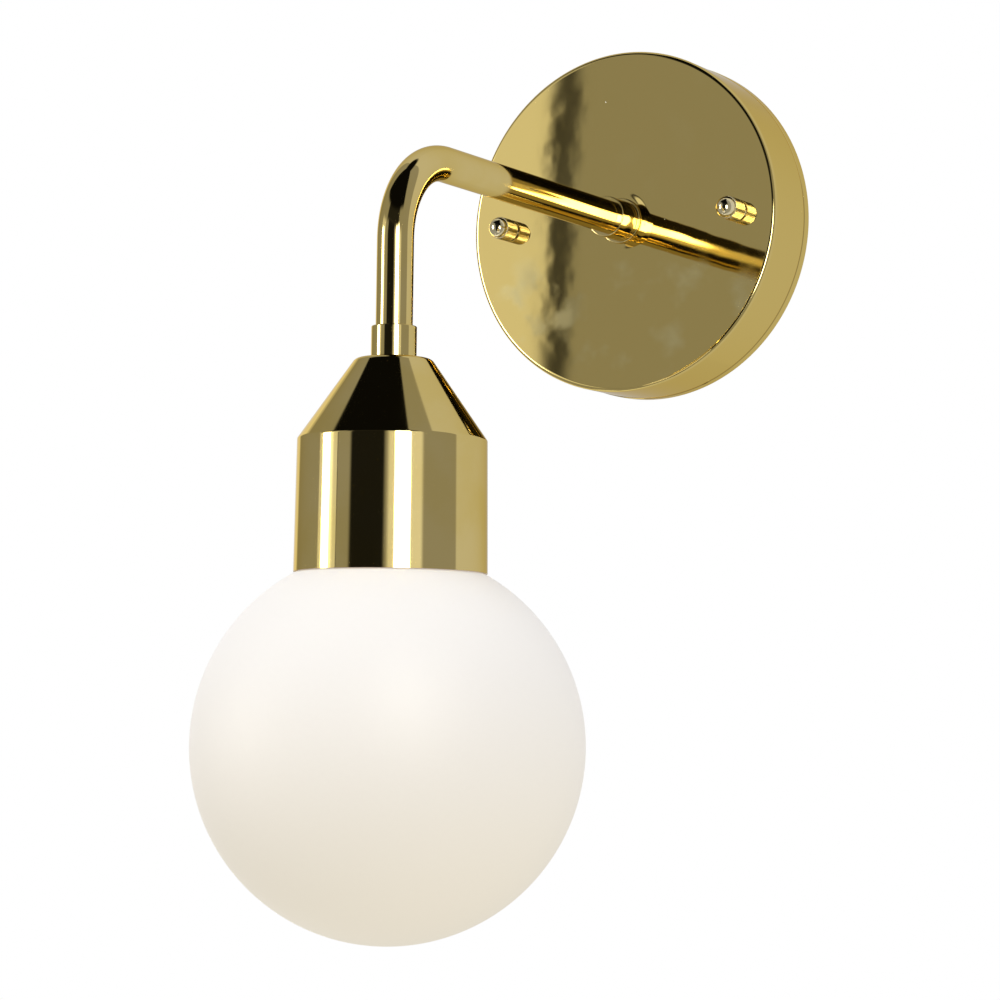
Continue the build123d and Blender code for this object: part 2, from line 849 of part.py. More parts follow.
# A three-pole block: a moulding with grooves between the poles, a brass sleeve in each
# pole, and two clamp screws to a sleeve.
driver_slot_width = 0.6
screw_end_gap = 0.2
with BuildPart() as terminal_block:
    block_side_margin = 0.5
    block_corner = 1.2
    groove_width = 1.4
    groove_depth = 5.0
    head_room = 0.1
    clamp_well_radius = 1.9
    wire_mouth_radius = 1.7
    block_width = 3 * terminal_pitch + 2 * block_side_margin
    with BuildSketch(toward_room(strap_thickness)):
        with Locations((0, terminal_middle)):
            RectangleRounded(block_width, terminal_height, block_corner)
    extrude(amount=terminal_depth)
    with BuildSketch(toward_room(terminal_front - groove_depth)):
        with Locations(*fixing_points):
            Rectangle(groove_width, terminal_height)
    extrude(amount=groove_depth, mode=Mode.SUBTRACT)
    with BuildSketch(toward_room(strap_thickness)):
        with Locations(*fixing_points):
            Circle(fixing_screw_radius)
    extrude(amount=terminal_depth, mode=Mode.SUBTRACT)
    with BuildSketch(toward_room(terminal_axis)):
        with Locations(*fixing_points):
            Circle(fixing_head_radius + head_room)
        with Locations(*clamp_points):
            Circle(clamp_well_radius)
    extrude(amount=terminal_depth, mode=Mode.SUBTRACT)
    with BuildSketch(downward(terminal_top, terminal_axis)):
        with Locations(*pole_points):
            Circle(wire_mouth_radius)
    extrude(amount=terminal_height, mode=Mode.SUBTRACT)
    with BuildSketch(downward(sleeve_top, terminal_axis)):
        with Locations(*pole_points):
            Circle(sleeve_radius)
    extrude(amount=sleeve_length, mode=Mode.SUBTRACT)

with BuildPart() as terminal_sleeves:
    sleeve_bore_radius = 1.5
    with BuildSketch(downward(sleeve_top, terminal_axis)):
        with Locations(*pole_points):
            Circle(sleeve_radius)
            Circle(sleeve_bore_radius, mode=Mode.SUBTRACT)
    extrude(amount=sleeve_length)
    with BuildSketch(toward_room(terminal_axis)):
        with Locations(*clamp_points):
            Circle(clamp_screw_radius)
    extrude(amount=terminal_depth, mode=Mode.SUBTRACT)

with BuildPart() as terminal_screws:
    recess = 1.5
    slot_depth = 0.6
    screw_tip = terminal_axis + wire_radius + running_clearance
    screw_top = terminal_front - recess
    with BuildSketch(toward_room(screw_tip)):
        with Locations(*clamp_points):
            Circle(clamp_screw_radius)
    extrude(amount=screw_top - screw_tip)
    with BuildSketch(toward_room(screw_top - slot_depth)):
        with Locations(*clamp_points):
            Rectangle(driver_slot_width, 2 * clamp_screw_radius + screw_end_gap)
    extrude(amount=slot_depth, mode=Mode.SUBTRACT)

with BuildPart() as terminal_fixing_screws:
    slot_depth = 0.8
    with BuildSketch(toward_room(terminal_axis)):
        with Locations(*fixing_points):
            Circle(fixing_head_radius)
    extrude(amount=fixing_head_height)
    with BuildSketch(toward_room(screw_end_gap)):
        with Locations(*fixing_points):
            Circle(fixing_screw_radius)
    extrude(amount=terminal_axis - screw_end_gap)
    with BuildSketch(toward_room(terminal_axis + fixing_head_height - slot_depth)):
        with Locations(*fixing_points):
            Rectangle(driver_slot_width, 2 * fixing_head_radius + screw_end_gap)
    extrude(amount=slot_depth, mode=Mode.SUBTRACT)

lower_tag_angle = -135.0
upper_tag_angle = 90.0
upper_tag_back = strap_thickness + tag_thickness
lower_earth_tag = earth_tag(strap_thickness, lower_tag_angle)
upper_earth_tag = earth_tag(upper_tag_back, upper_tag_angle)
# The arm's tag faces the wall, so its ring and barrel are made on its wall side.
arm_barrel_bottom = 10.0
arm_barrel_y = -(tag_back + tag_thickness - crimp_radius)
with BuildPart() as arm_earth_tag:
    arm_tag_radius = 8.0
    arm_neck_width = 4.0
    arm_neck_length = arm_barrel_bottom + tag_overlap
    with BuildSketch(toward_room(tag_back)):
        Circle(arm_tag_radius)
        with Locations((0, arm_neck_length / 2)):
            Rectangle(arm_neck_width, arm_neck_length)
        Circle(nipple_radius + washer_hole_room, mode=Mode.SUBTRACT)
    extrude(amount=tag_thickness)
    with BuildSketch(Plane(origin=(0, arm_barrel_y, arm_barrel_bottom))):
        Circle(crimp_radius)
    extrude(amount=crimp_length)
    with BuildSketch(Plane(origin=(0, arm_barrel_y, arm_barrel_bottom))):
        Circle(wire_radius)
    extrude(amount=crimp_length, mode=Mode.SUBTRACT)

earth_washer_back = upper_tag_back + tag_thickness
earth_washer = ring(
    toward_room(earth_washer_back),
    earth_washer_radius,
    stud_radius + washer_hole_room,
    earth_washer_thickness,
    [(earth_screw_x, 0)],
)

# A pan-head screw with a cross recess, in the strap's tapped hole.
with BuildPart() as earth_screw:
    recess_width = 0.9
    recess_length = 5.0
    recess_depth = 1.0
    head_back = earth_washer_back + earth_washer_thickness
    with BuildSketch(toward_room(head_back)):
        with Locations((earth_screw_x, 0)):
            Circle(screw_head_radius)
    extrude(amount=screw_head_height)
    head_rim = earth_screw.edges().filter_by(GeomType.CIRCLE).group_by(Axis.Y)[0]
    fillet(head_rim, screw_head_round)
    with BuildSketch(toward_room(screw_end_gap)):
        with Locations((earth_screw_x, 0)):
            Circle(stud_radius)
    extrude(amount=head_back - screw_end_gap)
    with BuildSketch(toward_room(head_back + screw_head_height - recess_depth)):
        with Locations((earth_screw_x, 0)):
            Rectangle(recess_length, recess_width)
            Rectangle(recess_width, recess_length)
    extrude(amount=recess_depth, mode=Mode.SUBTRACT)

# ---------------------------------------------------------------- wires

# Live and neutral leave the terminal block, turn into the nipple, follow the arm and
# spread to the two sides of the holder. Each run's bend radius stands beside its corner.
sleeve_depth = 2.0
wire_turn_height = -8.0
spread_drop = 2.0
entry_rise = 1.5
wire_end_gap = 0.6
inner_bend = 5.0
holder_bend = 4.0
conductor_start = screw_rows[0] - sleeve_depth
wires = []
for side in (-1, 1):
    pole_x = side * terminal_pitch
    near_x = side * wire_offset
    contact_x = side * pin_spacing / 2
    wires.append(
        wire(
            [
                (pole_x, -terminal_axis, conductor_start),
                (pole_x, -terminal_axis, wire_turn_height),
                (near_x, -terminal_axis, 0),
                (near_x, -reach, 0),
                (near_x, -reach, drop_nipple_end - spread_drop),
                (contact_x, -reach, holder_top + entry_rise),
                (contact_x, -reach, chamber_top + wire_end_gap),
            ],
            [inner_bend, inner_bend, bend_radius, holder_bend, holder_bend],
        )
    )
live_wire, neutral_wire = wires

# The earth lead from the middle pole to the lower tag on the strap.
lower_barrel_y = -strap_thickness - crimp_radius
lower_slope = cos(radians(lower_tag_angle))
lower_end_depth = 1.5
lower_run_out = 2.6
lower_turn_height = -11.5
lower_bends = [5.0, 3.0]
in_lower_barrel = (tag_barrel_start + lower_end_depth) * lower_slope
past_lower_barrel = (tag_barrel_start + crimp_length + lower_run_out) * lower_slope
earth_lead_down = wire(
    [
        (earth_screw_x + in_lower_barrel, lower_barrel_y, in_lower_barrel),
        (earth_screw_x + past_lower_barrel, lower_barrel_y, past_lower_barrel),
        (0, -terminal_axis, lower_turn_height),
        (0, -terminal_axis, conductor_start),
    ],
    lower_bends,
)

# The earth lead from the upper tag on the strap to the tag on the arm's nipple.
upper_barrel_y = -upper_tag_back - crimp_radius
upper_end_depth = 1.0
upper_turn_height = 19.0
loop_top = (8.0, -12.0, 27.0)
loop_end_height = 25.0
upper_bends = [6.0, 6.0, 5.0]
earth_lead_up = wire(
    [
        (earth_screw_x, upper_barrel_y, tag_barrel_start + upper_end_depth),
        (earth_screw_x, upper_barrel_y, upper_turn_height),
        loop_top,
        (0, arm_barrel_y, loop_end_height),
        (0, arm_barrel_y, arm_barrel_bottom + upper_end_depth),
    ],
    upper_bends,
)

# ---------------------------------------------------------------- names and files

pieces = {
    "canopy": canopy,
    "mounting_strap": mounting_strap,
    "stud_screws": stud_screws,
    "stud_lock_nuts": stud_lock_nuts,
    "left_cap_nut": left_cap_nut,
    "right_cap_nut": right_cap_nut,
    "left_cap_washer": left_cap_washer,
    "right_cap_washer": right_cap_washer,
    "arm_base_ring": arm_base_ring,
    "wall_collar": wall_collar,
    "wall_nipple": wall_nipple,
    "wall_lock_washer": wall_lock_washer,
    "wall_nipple_nut": wall_nipple_nut,
    "wall_wire_bush": wall_wire_bush,
    "arm_tube": arm_tube,
    "drop_collar": drop_collar,
    "drop_nipple": drop_nipple,
    "drop_wire_bush": drop_wire_bush,
    "cup": cup,
    "cup_lock_washer": cup_lock_washer,
    "cup_lock_nut": cup_lock_nut,
    "fitter_ring": fitter_ring,
    "globe_gasket": globe_gasket,
    "globe": globe,
    "lampholder_bracket": lampholder_bracket,
    "bracket_nut": bracket_nut,
    "lampholder_body": lampholder_body,
    "lampholder_contacts": lampholder_contacts,
    "lampholder_screws": lampholder_screws,
    "bulb_base": bulb_base,
    "bulb_pins": bulb_pins,
    "bulb_board": bulb_board,
    "bulb_chips": bulb_chips,
    "bulb_cover": bulb_cover,
    "terminal_block": terminal_block,
    "terminal_sleeves": terminal_sleeves,
    "terminal_screws": terminal_screws,
    "terminal_fixing_screws": terminal_fixing_screws,
    "lower_earth_tag": lower_earth_tag,
    "upper_earth_tag": upper_earth_tag,
    "arm_earth_tag": arm_earth_tag,
    "earth_washer": earth_washer,
    "earth_screw": earth_screw,
    "earth_lead_down": earth_lead_down,
    "earth_lead_up": earth_lead_up,
    "live_wire": live_wire,
    "neutral_wire": neutral_wire,
}

os.makedirs("parts", exist_ok=True)
for name, piece in pieces.items():
    piece.part.label = name
    export_step(piece.part, f"parts/{name}.step")
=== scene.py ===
"""The look of a brass wall light with an opal glass globe.

Lengths are in metres, and small ones are written in millimetres times mm. The wall is the
plane y = 0 with the room on its -Y side, +Z is up, and the globe hangs at y = -reach.
"""

import json

import bmesh
import bpy
import numpy as np
from mathutils import Matrix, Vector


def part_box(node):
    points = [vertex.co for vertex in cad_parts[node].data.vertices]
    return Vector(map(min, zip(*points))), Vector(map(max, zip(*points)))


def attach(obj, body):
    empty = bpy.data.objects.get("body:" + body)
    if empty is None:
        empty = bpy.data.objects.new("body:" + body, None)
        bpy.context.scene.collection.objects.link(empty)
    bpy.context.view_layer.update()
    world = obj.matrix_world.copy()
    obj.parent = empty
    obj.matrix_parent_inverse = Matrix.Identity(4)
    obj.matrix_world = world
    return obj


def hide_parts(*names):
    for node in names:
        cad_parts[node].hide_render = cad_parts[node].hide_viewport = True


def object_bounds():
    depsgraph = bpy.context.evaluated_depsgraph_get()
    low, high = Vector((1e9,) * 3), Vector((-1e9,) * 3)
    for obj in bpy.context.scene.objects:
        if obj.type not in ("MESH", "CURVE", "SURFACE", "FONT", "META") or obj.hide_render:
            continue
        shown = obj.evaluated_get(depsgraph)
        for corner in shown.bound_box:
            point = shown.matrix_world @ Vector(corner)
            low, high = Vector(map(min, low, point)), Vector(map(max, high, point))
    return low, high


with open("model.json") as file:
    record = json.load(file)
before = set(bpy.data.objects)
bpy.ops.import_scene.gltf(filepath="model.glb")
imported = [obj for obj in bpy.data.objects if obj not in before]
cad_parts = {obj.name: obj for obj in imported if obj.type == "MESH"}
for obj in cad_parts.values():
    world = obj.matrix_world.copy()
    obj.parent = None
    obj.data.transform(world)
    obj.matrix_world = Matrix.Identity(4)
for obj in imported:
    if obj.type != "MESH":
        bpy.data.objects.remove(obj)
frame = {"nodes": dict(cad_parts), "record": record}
cad_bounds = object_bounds()

mm = 0.001

# ---------------------------------------------------------------- sizes from the frame

canopy_low, canopy_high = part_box("canopy")
canopy_radius = canopy_high.x
canopy_depth = -canopy_low.y

_, base_ring_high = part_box("arm_base_ring")
wall_collar_low, wall_collar_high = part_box("wall_collar")
drop_collar_low, drop_collar_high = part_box("drop_collar")
base_ring_radius = base_ring_high.x
collar_radius = wall_collar_high.x
collar_back = -wall_collar_high.y
collar_front = -wall_collar_low.y

tube_low, tube_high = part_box("arm_tube")
tube_radius = tube_high.x
reach = -tube_low.y - tube_radius
arm_foot = -tube_high.y
arm_end = tube_low.z

cup_low, cup_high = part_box("cup")
cup_top = cup_high.z
rim = cup_low.z
rim_radius = cup_high.x

globe_low, globe_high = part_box("globe")
globe_radius = globe_high.x
globe_centre = globe_low.z + globe_radius
neck_top = globe_high.z

nut_low, nut_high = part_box("right_cap_nut")
nut_x = (nut_low.x + nut_high.x) / 2
nut_radius = (nut_high.z - nut_low.z) / 2
nut_seat = -nut_high.y
nut_tip = -nut_low.y

# ---------------------------------------------------------------- sizes of the details

canopy_wall = 1.0 * mm
canopy_edge_round = 1.5 * mm
hem_height = 3.5 * mm
hem_thickness = 1.8 * mm
hem_step = 0.2 * mm
hem_edge_round = 0.4 * mm
inner_edge_round = 0.5 * mm
dish_radius = 11.5 * mm
dish_depth = 0.12 * mm
stud_hole_radius = 2.5 * mm

nipple_radius = 5.0 * mm
nipple_room = 0.2 * mm
thread_depth = 19.0 * mm
tube_bore_radius = 4.5 * mm
bend_radius = 28.0 * mm
small_round = 0.3 * mm

cup_wall = 1.0 * mm
cone_top_radius = 11.7 * mm
cone_height = 25.0 * mm
cone_corner_round = 2.5 * mm
shoulder_radius = 29.1 * mm
shoulder_round = 1.0 * mm
rim_chamfer = 0.5 * mm

globe_wall = 3.0 * mm
neck_radius = 26.0 * mm
neck_bore_radius = 22.8 * mm
neck_lip_round = 0.6 * mm
neck_root_round = 1.0 * mm

nut_barrel = 7.2 * mm
nut_dome_radius = 3.6 * mm
nut_bore_radius = 2.05 * mm
nut_bore_end = 32.0 * mm
nut_ribs = 48
rib_depth = 0.12 * mm

# ---------------------------------------------------------------- outlines and meshes


def outline(corners, rounds, steps=10):
    """A closed outline through corners of (radius, height), with an arc at rounded corners.

    An arc's centre is on the corner's bisector, round / sin(half the angle) from it. Its
    points turn evenly from one tangent point to the other, and one point more on each line,
    close to the arc, keeps the line's shading flat.
    """
    support = 0.15 * mm
    points = []
    corners = np.array(corners, float)
    for before, corner, after, size in zip(
        np.roll(corners, 1, 0), corners, np.roll(corners, -1, 0), rounds
    ):
        if size == 0:
            points.append(corner[None])
            continue
        back = (before - corner) / np.linalg.norm(before - corner)
        ahead = (after - corner) / np.linalg.norm(after - corner)
        half = np.arccos(back @ ahead) / 2
        length = size / np.tan(half)
        centre = corner + (back + ahead) / np.linalg.norm(back + ahead) * size / np.sin(half)
        turn = np.pi - 2 * half
        share = np.linspace(0, 1, steps + 1)[:, None]
        start = corner + back * length - centre
        end = corner + ahead * length - centre
        arc = (np.sin((1 - share) * turn) * start + np.sin(share * turn) * end) / np.sin(turn)
        points += [
            (corner + back * (length + support))[None],
            centre + arc,
            (corner + ahead * (length + support))[None],
        ]
    return np.concatenate(points)


def arc(centre, radius, start, end, steps):
    """Points of (radius, height) on a circle about a centre, between two angles in degrees."""
    angle = np.radians(np.linspace(start, end, steps + 1))
    return np.stack((centre[0] + radius * np.cos(angle), centre[1] + radius * np.sin(angle)), -1)


def off_wall(x):
    """Places a turned piece on the line that leaves the wall at x, height being distance."""
    return lambda across, up, along: np.stack((x + across, -along, up), -1)


def on_drop(across, up, along):
    """Places a turned piece on the drop axis."""
    return np.stack((across, up - reach, along), -1)


def mesh_piece(name, grid, outline_closed):
    """A mesh from a grid of points whose columns go round and close.

    The rows close too where the outline is a loop. Points that fall together at a pole are
    merged, and the faces are turned outwards.
    """
    rows, columns = grid.shape[:2]
    index = np.arange(rows * columns).reshape(rows, columns)
    if outline_closed:
        index = np.vstack((index, index[:1]))
    index = np.hstack((index, index[:, :1]))
    corners = (index[:-1, :-1], index[1:, :-1], index[1:, 1:], index[:-1, 1:])
    quads = np.stack(corners, -1).reshape(-1, 4)
    mesh = bpy.data.meshes.new(name)
    mesh.from_pydata(grid.reshape(-1, 3).tolist(), [], quads.tolist())
    shell = bmesh.new()
    shell.from_mesh(mesh)
    bmesh.ops.remove_doubles(shell, verts=shell.verts, dist=1e-7)
    bmesh.ops.recalc_face_normals(shell, faces=shell.faces)
    shell.to_mesh(mesh)
    shell.free()
    piece = bpy.data.objects.new(name, mesh)
    bpy.context.collection.objects.link(piece)
    smooth(piece)
    return piece


def smooth(piece):
    """Smooth shading that stops at edges sharper than the crease angle."""
    crease = np.radians(32)
    piece.data.shade_smooth()
    piece.data.set_sharp_from_angle(angle=crease)


def turned(name, section, steps, place, relief=0):
    """A turned piece: each (radius, height) of the section goes round a circle of its radius.

    The relief is added to the radius, as an array of section points by steps round.
    """
    turn = np.linspace(0, 2 * np.pi, steps, endpoint=False)
    radius = section[:, :1] + np.zeros(steps) + relief
    along = section[:, 1:] + np.zeros(steps)
    grid = place(radius * np.cos(turn), radius * np.sin(turn), along)
    return mesh_piece(name, grid, outline_closed=section[0, 0] > 0)


def bored(piece, cutter):
    """The piece with the cutter taken away, as a plain mesh."""
    cut = piece.modifiers.new("bore", "BOOLEAN")
    cut.operation = "DIFFERENCE"
    cut.solver = "EXACT"
    cut.object = cutter
    view = bpy.context.evaluated_depsgraph_get()
    solid = piece.data
    piece.data = bpy.data.meshes.new_from_object(piece.evaluated_get(view))
    piece.data.name = piece.name
    piece.modifiers.clear()
    bpy.data.meshes.remove(solid)
    bpy.data.objects.remove(cutter)
    smooth(piece)
    return piece


def dress(piece, body, material, slot, *nodes):
    """Gives a new piece its material and lets it ride on a body in place of CAD nodes."""
    piece.data.materials.clear()
    piece.data.materials.append(material)
    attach(piece, body)
    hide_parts(*nodes)


# ---------------------------------------------------------------- shader maths


class Wire:
    """A socket in a node tree. Maths on it adds Math nodes, and node() adds any other."""

    def __init__(self, tree, socket=None):
        self.tree = tree
        self.socket = socket

    def node(self, kind, settings=None, inputs=None, output=0):
        """A node with its settings made first, then its sockets set or linked."""
        made = self.tree.nodes.new(kind)
        for key, value in (settings or {}).items():
            setattr(made, key, value)
        for key, value in (inputs or {}).items():
            if isinstance(value, Wire):
                self.tree.links.new(value.socket, made.inputs[key])
            else:
                made.inputs[key].default_value = value
        return Wire(self.tree, made.outputs[output])

    def show(self, kind):
        """Ends the tree: this shader goes to the output of the material or the world."""
        output = self.tree.nodes.new(kind)
        self.tree.links.new(self.socket, output.inputs["Surface"])

    def maths(self, operation, *values):
        """One Math node on the values, in their order."""
        return self.node("ShaderNodeMath", {"operation": operation}, dict(enumerate(values)))

    def then(self, operation, *others):
        """This value through one Math node, with any other values after it."""
        return self.maths(operation, self, *others)

    def __add__(self, other):
        return self.then("ADD", other)

    def __radd__(self, other):
        return self.maths("ADD", other, self)

    def __sub__(self, other):
        return self.then("SUBTRACT", other)

    def __rsub__(self, other):
        return self.maths("SUBTRACT", other, self)

    def __mul__(self, other):
        return self.then("MULTIPLY", other)

    def __rmul__(self, other):
        return self.maths("MULTIPLY", other, self)

    def __truediv__(self, other):
        return self.then("DIVIDE", other)

    def __pow__(self, other):
        return self.then("POWER", other)

    def ease(self, low, high):
        """0 below low, 1 above high, and a smooth rise between."""
        sockets = {"Value": self, "From Min": low, "From Max": high}
        return self.node("ShaderNodeMapRange", {"interpolation_type": "SMOOTHSTEP"}, sockets)

    def within(self, low, high, soft):
        """1 between low and high and 0 outside, each edge soft wide about its middle."""
        rise = self.ease(low - soft / 2, low + soft / 2)
        return rise * (1 - self.ease(high - soft / 2, high + soft / 2))

    def blend(self, first, second):
        """The first colour where this mask is 0 and the second where it is 1."""
        sockets = {0: self, 6: first, 7: second}
        return self.node("ShaderNodeMix", {"data_type": "RGBA"}, sockets, output=2)

    def parts(self):
        """The three numbers of a vector."""
        made = self.node("ShaderNodeSeparateXYZ", inputs={0: self})
        outputs = made.socket.node.outputs
        return [Wire(self.tree, outputs[axis]) for axis in range(3)]

    def noise(self, scale, detail=2.0, stretch=(1, 1, 1)):
        """Noise from 0 to 1 with features about 1 / scale wide, stretched along the axes."""
        place = self.node(
            "ShaderNodeVectorMath", {"operation": "MULTIPLY"}, {0: self, 1: stretch}
        )
        sockets = {"Vector": place, "Scale": scale, "Detail": detail}
        return self.node("ShaderNodeTexNoise", inputs=sockets)

    def bump(self):
        """A normal from this height in metres."""
        sockets = {"Strength": 1.0, "Distance": 1.0, "Height": self}
        return self.node("ShaderNodeBump", inputs=sockets)


def colour(red, green, blue):
    """A linear colour."""
    return (red, green, blue, 1.0)


def new_material(name):
    """An empty material, and the object's own coordinates in its node tree."""
    material = bpy.data.materials.new(name)
    material.use_nodes = True
    tree = material.node_tree
    tree.nodes.clear()
    place = Wire(tree).node("ShaderNodeTexCoord", output="Object")
    return material, place


def finish_surface(place, sockets):
    """The surface shader and the material's output."""
    surface = place.node("ShaderNodeBsdfPrincipled", inputs=sockets)
    surface.show("ShaderNodeOutputMaterial")


# ---------------------------------------------------------------- finishes of the outside

brass_pale = colour(0.83, 0.66, 0.28)
brass_deep = colour(0.80, 0.62, 0.22)
brass_edge = colour(0.82, 0.70, 0.44)
brass_blotch = colour(0.86, 0.72, 0.33)
dust_white = colour(0.9, 0.88, 0.8)
nut_pale = colour(0.93, 0.83, 0.55)
nut_deep = colour(0.88, 0.75, 0.42)
# the globe's base colour: painted shade, creamier at the bottom and lighter at the top
opal_painted_shade = colour(0.80, 0.72, 0.58)
opal_painted_light = colour(0.88, 0.85, 0.78)
# the globe's emission: a painted glow that stands in for light from within and fills the shade
# under the cup
painted_glow_low = colour(0.255, 0.24, 0.205)
painted_glow_high = colour(0.215, 0.21, 0.235)

# heights of the bumps in the polish
arm_ripple = 1.2e-3 * mm
cup_ripple = 2.2e-3 * mm
polishing_lines = 0.03
face_wave = 52e-3 * mm
face_brushing = 0.5e-3 * mm
face_turning = 6e-5 * mm
nut_grain = 1e-4 * mm
satin_grain = 4e-5 * mm


def polished_brass(name, ripple, stretch):
    """Lacquered polished brass: faint smudges, a low ripple and fine polishing lines.

    The lines are polishing_lines of the ripple high.
    """
    material, place = new_material(name)
    smudge = place.noise(45, 4.0).ease(0.35, 0.7)
    lines = place.noise(900, 2.0, stretch)
    height = place.noise(60, 1.0, stretch) * ripple + lines * (polishing_lines * ripple)
    sockets = {
        "Base Color": smudge.blend(brass_pale, brass_deep),
        "Metallic": 1.0,
        "Specular Tint": brass_edge,
        "Roughness": 0.035 + 0.03 * smudge + 0.02 * lines,
        "Normal": height.bump(),
    }
    finish_surface(place, sockets)
    return material


def canopy_brass():
    """The canopy's polish, with its marks of wear.

    The face wavers inside its edge, has turned lines all over and brushed lines near the
    left, pale blotches mostly low down, and a few specks of dust.
    """
    material, place = new_material("canopy_brass")
    x, y, z = place.parts()
    radius = (x * x + z * z) ** 0.5
    on_side = radius.ease(canopy_radius - 1.2 * mm, canopy_radius - 0.6 * mm)
    turned_lines = place.node(
        "ShaderNodeTexNoise", {"noise_dimensions": "1D"}, {"W": radius * 2600, "Scale": 1.0}
    )
    low_on_face = 1 - 0.9 * z.ease(-22 * mm, -6 * mm)
    blotch = place.noise(70, 3.0).ease(0.5, 0.72) * (1 - on_side) * low_on_face
    cells = {"Vector": place, "Scale": 170.0}
    dust_distance = place.node("ShaderNodeTexVoronoi", inputs=cells)
    dust_pick = place.node("ShaderNodeTexVoronoi", inputs=cells, output="Color").parts()[0]
    dust = (1 - dust_distance.ease(0.02, 0.05)) * dust_pick.ease(0.9, 0.91)
    inner = 1 - radius.ease(canopy_radius - 12 * mm, canopy_radius - 2.5 * mm)
    wave = (place.noise(46, 2.5) - 0.5) * inner * face_wave
    brushed = place.noise(420, 2.0, (1, 1, 0.12)) * face_brushing
    near_left = 1 - x.ease(-40 * mm, -15 * mm)
    height = wave + brushed * near_left + turned_lines * face_turning
    brass = blotch.blend(brass_deep, brass_blotch)
    sockets = {
        "Base Color": dust.blend(brass, dust_white),
        "Metallic": 1.0,
        "Specular Tint": brass_edge,
        "Roughness": 0.03 + 0.07 * blotch + 0.06 * on_side + 0.3 * dust,
        "Normal": height.bump(),
    }
    finish_surface(place, sockets)
    return material


def knurled_brass():
    """The cap nuts' brass: a mirror on the dome, and a softer shine on the knurled barrel."""
    material, place = new_material("nut_brass")
    from_wall = 0 - place.parts()[1]
    on_barrel = from_wall.within(nut_seat - 1 * mm, nut_seat + nut_barrel, 0.2 * mm)
    tarnish = place.noise(600, 3.0).ease(0.35, 0.7)
    sockets = {
        "Base Color": tarnish.blend(nut_pale, nut_deep),
        "Metallic": 1.0,
        "Specular Tint": brass_edge,
        "Roughness": 0.04 + 0.26 * on_barrel + 0.03 * tarnish,
        "Normal": (place.noise(2500, 2.0) * nut_grain).bump(),
    }
    finish_surface(place, sockets)
    return material


def opal_glass():
    """Satin opal glass with painted light: a painted glow as if lit from within, and a colour
    painted whitest under the cup and shaded creamier to the bottom.
    """
    material, place = new_material("opal_glass")
    height = place.parts()[2]
    # painted light: this mask makes the globe's colour and glow lighter towards the top
    painted_light_rise = height.ease(globe_centre - globe_radius, globe_centre + 0.75 * globe_radius)
    cloud = place.noise(35, 3.0)
    sockets = {
        # painted shade: the base colour runs from the shaded cream at the bottom to the lit white
        # at the top
        "Base Color": painted_light_rise.blend(opal_painted_shade, opal_painted_light),
        "Roughness": 0.5 + 0.05 * cloud,
        "Specular IOR Level": 0.35,
        # painted glow: the glass itself emits light, brightest under the cup
        "Emission Color": painted_light_rise.blend(painted_glow_low, painted_glow_high),
        "Emission Strength": 1.0,
        "Normal": (place.noise(700, 2.0) * satin_grain).bump(),
    }
    finish_surface(place, sockets)
    return material


# ---------------------------------------------------------------- finishes of the inside


def worked(name, pale, deep, roughness, metallic=0.0, grain=0.002, scale=500, **constants):
    """A plain worked finish: mottled between two colours, with a fine grain in mm."""
    material, place = new_material(name)
    mottle = place.noise(scale / 6, 4.0)
    fine = place.noise(scale, 3.0)
    sockets = {
        "Base Color": mottle.ease(0.3, 0.7).blend(pale, deep),
        "Metallic": metallic,
        "Roughness": roughness + 0.12 * mottle,
        "Normal": (fine * (grain * mm)).bump(),
    }
    sockets.update(constants)
    finish_surface(place, sockets)
    return material


def threaded(name, pale, deep, axis, centre, pitch, depth, metallic=1.0):
    """A metal with a screw thread: the height rises and falls once a pitch and once a turn.

    The thread's phase is the distance along the axis over the pitch, plus the share of a
    turn about the axis through the centre.
    """
    material, place = new_material(name)
    coordinates = place.parts()
    along = coordinates[axis]
    first, second = [
        coordinates[other] - centre[other] for other in range(3) if other != axis
    ]
    phase = along / pitch + second.then("ARCTAN2", first) / (2 * np.pi)
    ridge = 2 * phase.then("PINGPONG", 0.5)
    mottle = place.noise(90, 3.0)
    sockets = {
        "Base Color": mottle.ease(0.3, 0.7).blend(pale, deep),
        "Metallic": metallic,
        "Roughness": 0.24 + 0.1 * mottle,
        "Normal": (ridge * depth).bump(),
    }
    finish_surface(place, sockets)
    return material


def striped_sheath():
    """The earth leads' sheath: green, with a yellow stripe down both sides of the wire."""
    material, place = new_material("green_yellow_sheath")
    facing = place.node("ShaderNodeNewGeometry", output="Normal").parts()[1]
    stripe = 1 - facing.then("ABSOLUTE").ease(0.35, 0.5)
    sockets = {
        "Base Color": stripe.blend(colour(0.04, 0.26, 0.05), colour(0.78, 0.62, 0.03)),
        "Roughness": 0.34 + 0.06 * place.noise(300),
        "Normal": (place.noise(1500) * (0.002 * mm)).bump(),
    }
    finish_surface(place, sockets)
    return material


turned_brass = (colour(0.74, 0.56, 0.24), colour(0.66, 0.48, 0.19))
bright_zinc = (colour(0.62, 0.64, 0.67), colour(0.50, 0.53, 0.57))
wall_axis_centre = (0, 0, 0)
drop_axis_centre = (0, -reach, 0)
nipple_pitch = 1.0 * mm
nipple_thread = 0.35 * mm
stud_pitch = 0.7 * mm
stud_thread = 0.25 * mm

arm_brass = polished_brass("arm_brass", arm_ripple, (1, 1, 1))
cup_brass = polished_brass("cup_brass", cup_ripple, (1, 1, 0.25))
nut_brass = knurled_brass()

